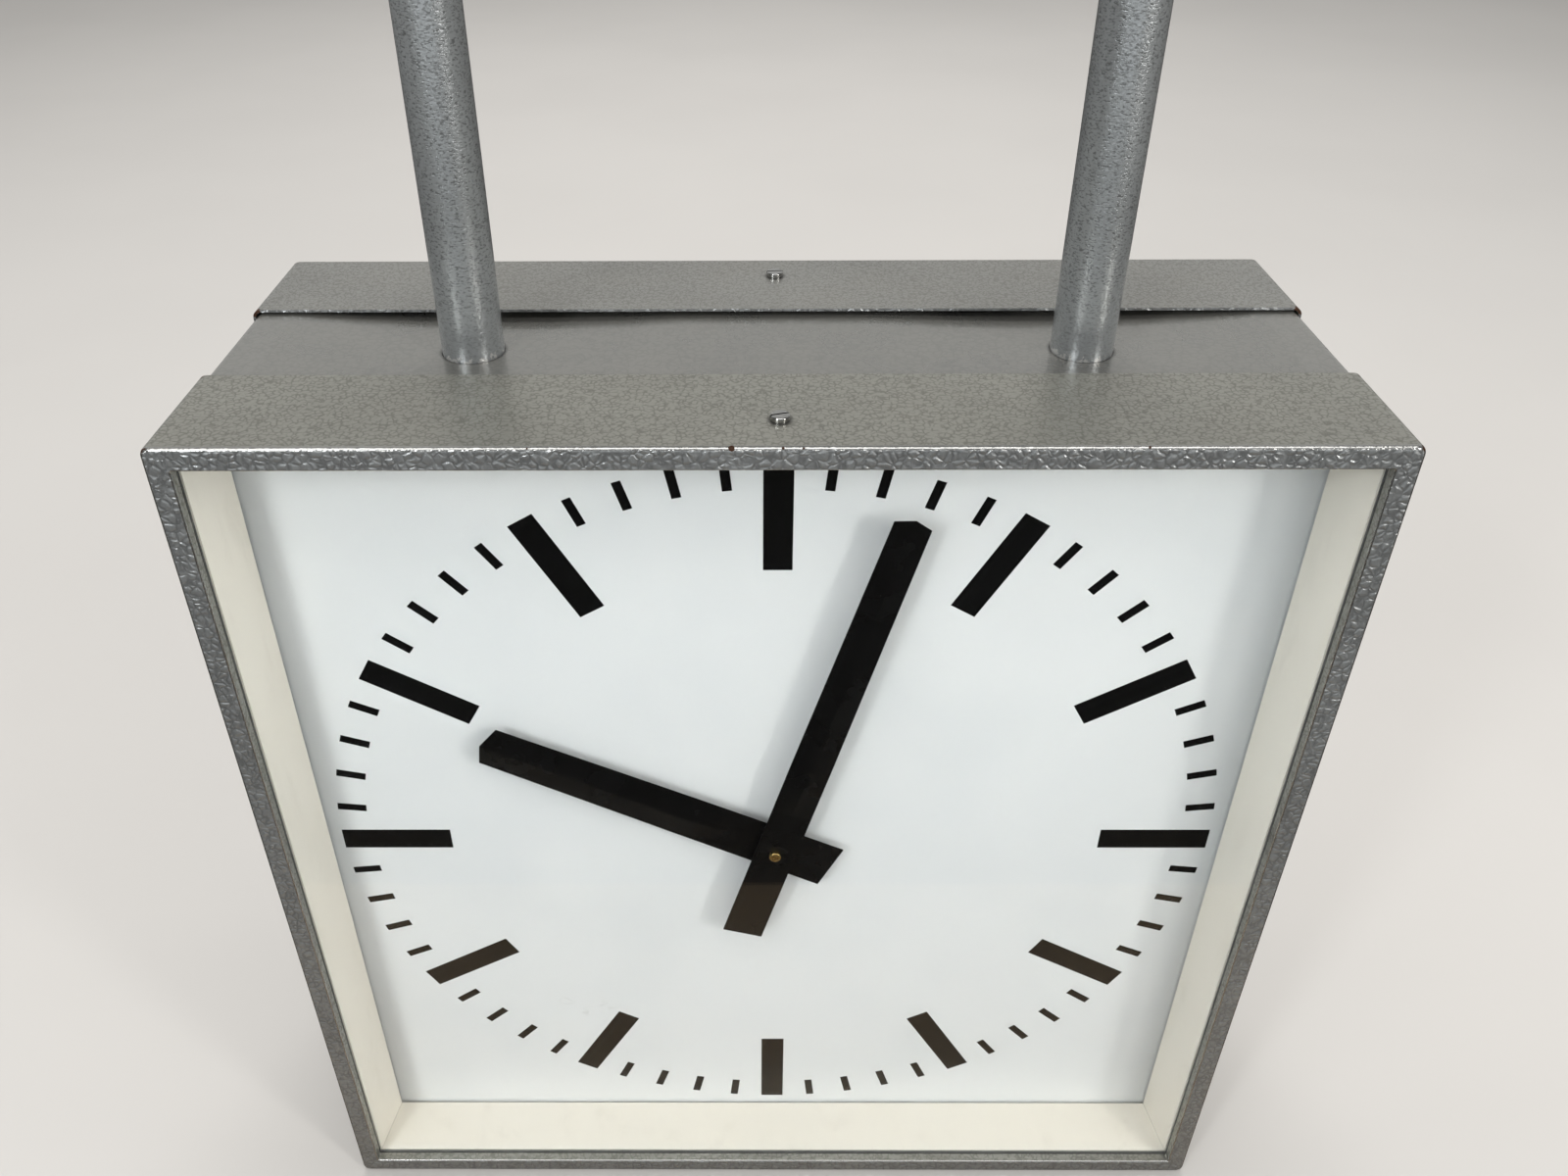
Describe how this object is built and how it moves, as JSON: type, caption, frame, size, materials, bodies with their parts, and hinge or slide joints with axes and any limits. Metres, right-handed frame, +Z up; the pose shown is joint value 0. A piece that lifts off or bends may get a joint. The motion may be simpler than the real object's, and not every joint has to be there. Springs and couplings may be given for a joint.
{
  "type": "double-sided suspended clock",
  "caption": "Square double-sided clock in a folded sheet steel case, hung from a ceiling plate on tubes, with glazed white dials, black folded hands and geared slave movements.",
  "frame": {"origin": "middle of the footprint, on the undersides of the two bezels", "axes": "+X to the right across the front face, +Y from the front dial to the rear dial, +Z up"},
  "size_m": [0.6, 0.244, 1],
  "materials": {
    "bezel_hammer_paint": "grey hammertone enamel, strongly textured",
    "case_paint": "grey enamel, smoother and glossier than the bezels",
    "tube_paint": "silver grey enamel with fine dark flecks",
    "clear_glass": "clear float glass",
    "cream_enamel": "cream semi-gloss enamel",
    "dial_enamel": "white enamel on aluminium sheet with black printing",
    "hand_lacquer": "black gloss lacquer on aluminium sheet",
    "black_rubber": "black rubber",
    "chromed_screw": "worn chrome plating",
    "zinc_steel": "zinc plated steel",
    "bakelite": "brown moulded phenolic",
    "brass": "brushed brass",
    "arbor_steel": "polished steel",
    "stator_iron": "stacked iron laminations",
    "rotor_ferrite": "dark sintered magnet",
    "bobbin_plastic": "natural moulded plastic",
    "winding_wire": "enamelled copper wire"
  },
  "bodies": {
    "case": {"bezel_nut_plates": "zinc_steel", "bezel_screws": "chromed_screw", "cable_bush": "black_rubber", "case_shell": "case_paint", "ceiling_plate": "tube_paint", "coil_bobbins": "bobbin_plastic", "coil_windings": "winding_wire", "dial_bush_nuts": "brass", "dial_bushes": "brass", "dial_rails": "zinc_steel", "dial_stud_nuts": "zinc_steel", "front_bezel": "bezel_hammer_paint", "front_dial": "dial_enamel", "front_glass": "clear_glass", "front_reveal": "cream_enamel", "glass_clips": "zinc_steel", "glass_gaskets": "black_rubber", "hanger_channel": "zinc_steel", "left_tube": "tube_paint", "motion_studs": "zinc_steel", "movement_back_plates": "brass", "movement_dial_plates": "brass", "movement_pillars": "zinc_steel", "pillar_screws": "zinc_steel", "rear_bezel": "bezel_hammer_paint", "rear_dial": "dial_enamel", "rear_glass": "clear_glass", "rear_reveal": "cream_enamel", "right_tube": "tube_paint", "stator_cores": "stator_iron", "terminal_block": "bakelite", "terminal_screws": "brass", "tube_locknuts": "zinc_steel", "tube_washers": "zinc_steel"},
    "front_minute": {"front_minute_hand": "hand_lacquer", "front_hand_nut": "brass", "front_minute_arbor": "arbor_steel", "front_centre_wheel": "brass"},
    "front_hour": {"front_hour_hand": "hand_lacquer", "front_hour_pipe": "brass", "front_hour_wheel": "brass"},
    "front_motion": {"front_motion_wheel": "brass", "front_motion_pinion": "arbor_steel"},
    "front_intermediate": {"front_intermediate_wheel": "brass", "front_intermediate_arbor": "arbor_steel"},
    "front_rotor": {"front_rotor_arbor": "arbor_steel", "front_rotor_magnet": "rotor_ferrite"},
    "rear_minute": {"rear_minute_hand": "hand_lacquer", "rear_hand_nut": "brass", "rear_minute_arbor": "arbor_steel", "rear_centre_wheel": "brass"},
    "rear_hour": {"rear_hour_hand": "hand_lacquer", "rear_hour_pipe": "brass", "rear_hour_wheel": "brass"},
    "rear_motion": {"rear_motion_wheel": "brass", "rear_motion_pinion": "arbor_steel"},
    "rear_intermediate": {"rear_intermediate_wheel": "brass", "rear_intermediate_arbor": "arbor_steel"},
    "rear_rotor": {"rear_rotor_arbor": "arbor_steel", "rear_rotor_magnet": "rotor_ferrite"}
  },
  "joints": [
    {"name": "front_minute_turn", "type": "hinge", "parent": "case", "child": "front_minute", "pos_m": [0, -0.078, 0.3], "axis": [0, 1, 0], "continuous": true},
    {"name": "front_hour_turn", "type": "hinge", "parent": "case", "child": "front_hour", "pos_m": [0, -0.078, 0.3], "axis": [0, 1, 0], "continuous": true},
    {"name": "front_motion_turn", "type": "hinge", "parent": "case", "child": "front_motion", "pos_m": [-0.018, -0.078, 0.3], "axis": [0, 1, 0], "continuous": true},
    {"name": "front_intermediate_turn", "type": "hinge", "parent": "case", "child": "front_intermediate", "pos_m": [0, -0.078, 0.318], "axis": [0, 1, 0], "continuous": true},
    {"name": "front_rotor_turn", "type": "hinge", "parent": "case", "child": "front_rotor", "pos_m": [0, -0.078, 0.3348], "axis": [0, 1, 0], "continuous": true},
    {"name": "rear_minute_turn", "type": "hinge", "parent": "case", "child": "rear_minute", "pos_m": [0, 0.078, 0.3], "axis": [0, -1, 0], "continuous": true},
    {"name": "rear_hour_turn", "type": "hinge", "parent": "case", "child": "rear_hour", "pos_m": [0, 0.078, 0.3], "axis": [0, -1, 0], "continuous": true},
    {"name": "rear_motion_turn", "type": "hinge", "parent": "case", "child": "rear_motion", "pos_m": [0.018, 0.078, 0.3], "axis": [0, -1, 0], "continuous": true},
    {"name": "rear_intermediate_turn", "type": "hinge", "parent": "case", "child": "rear_intermediate", "pos_m": [0, 0.078, 0.318], "axis": [0, -1, 0], "continuous": true},
    {"name": "rear_rotor_turn", "type": "hinge", "parent": "case", "child": "rear_rotor", "pos_m": [0, 0.078, 0.3348], "axis": [0, -1, 0], "continuous": true}
  ],
  "couplings": [
    {"joint": "front_hour_turn", "follows": "front_minute_turn", "ratio": 0.083333},
    {"joint": "front_motion_turn", "follows": "front_minute_turn", "ratio": -0.33333},
    {"joint": "front_intermediate_turn", "follows": "front_minute_turn", "ratio": -5},
    {"joint": "front_rotor_turn", "follows": "front_minute_turn", "ratio": 30},
    {"joint": "rear_hour_turn", "follows": "rear_minute_turn", "ratio": 0.083333},
    {"joint": "rear_motion_turn", "follows": "rear_minute_turn", "ratio": -0.33333},
    {"joint": "rear_intermediate_turn", "follows": "rear_minute_turn", "ratio": -5},
    {"joint": "rear_rotor_turn", "follows": "rear_minute_turn", "ratio": 30}
  ]
}
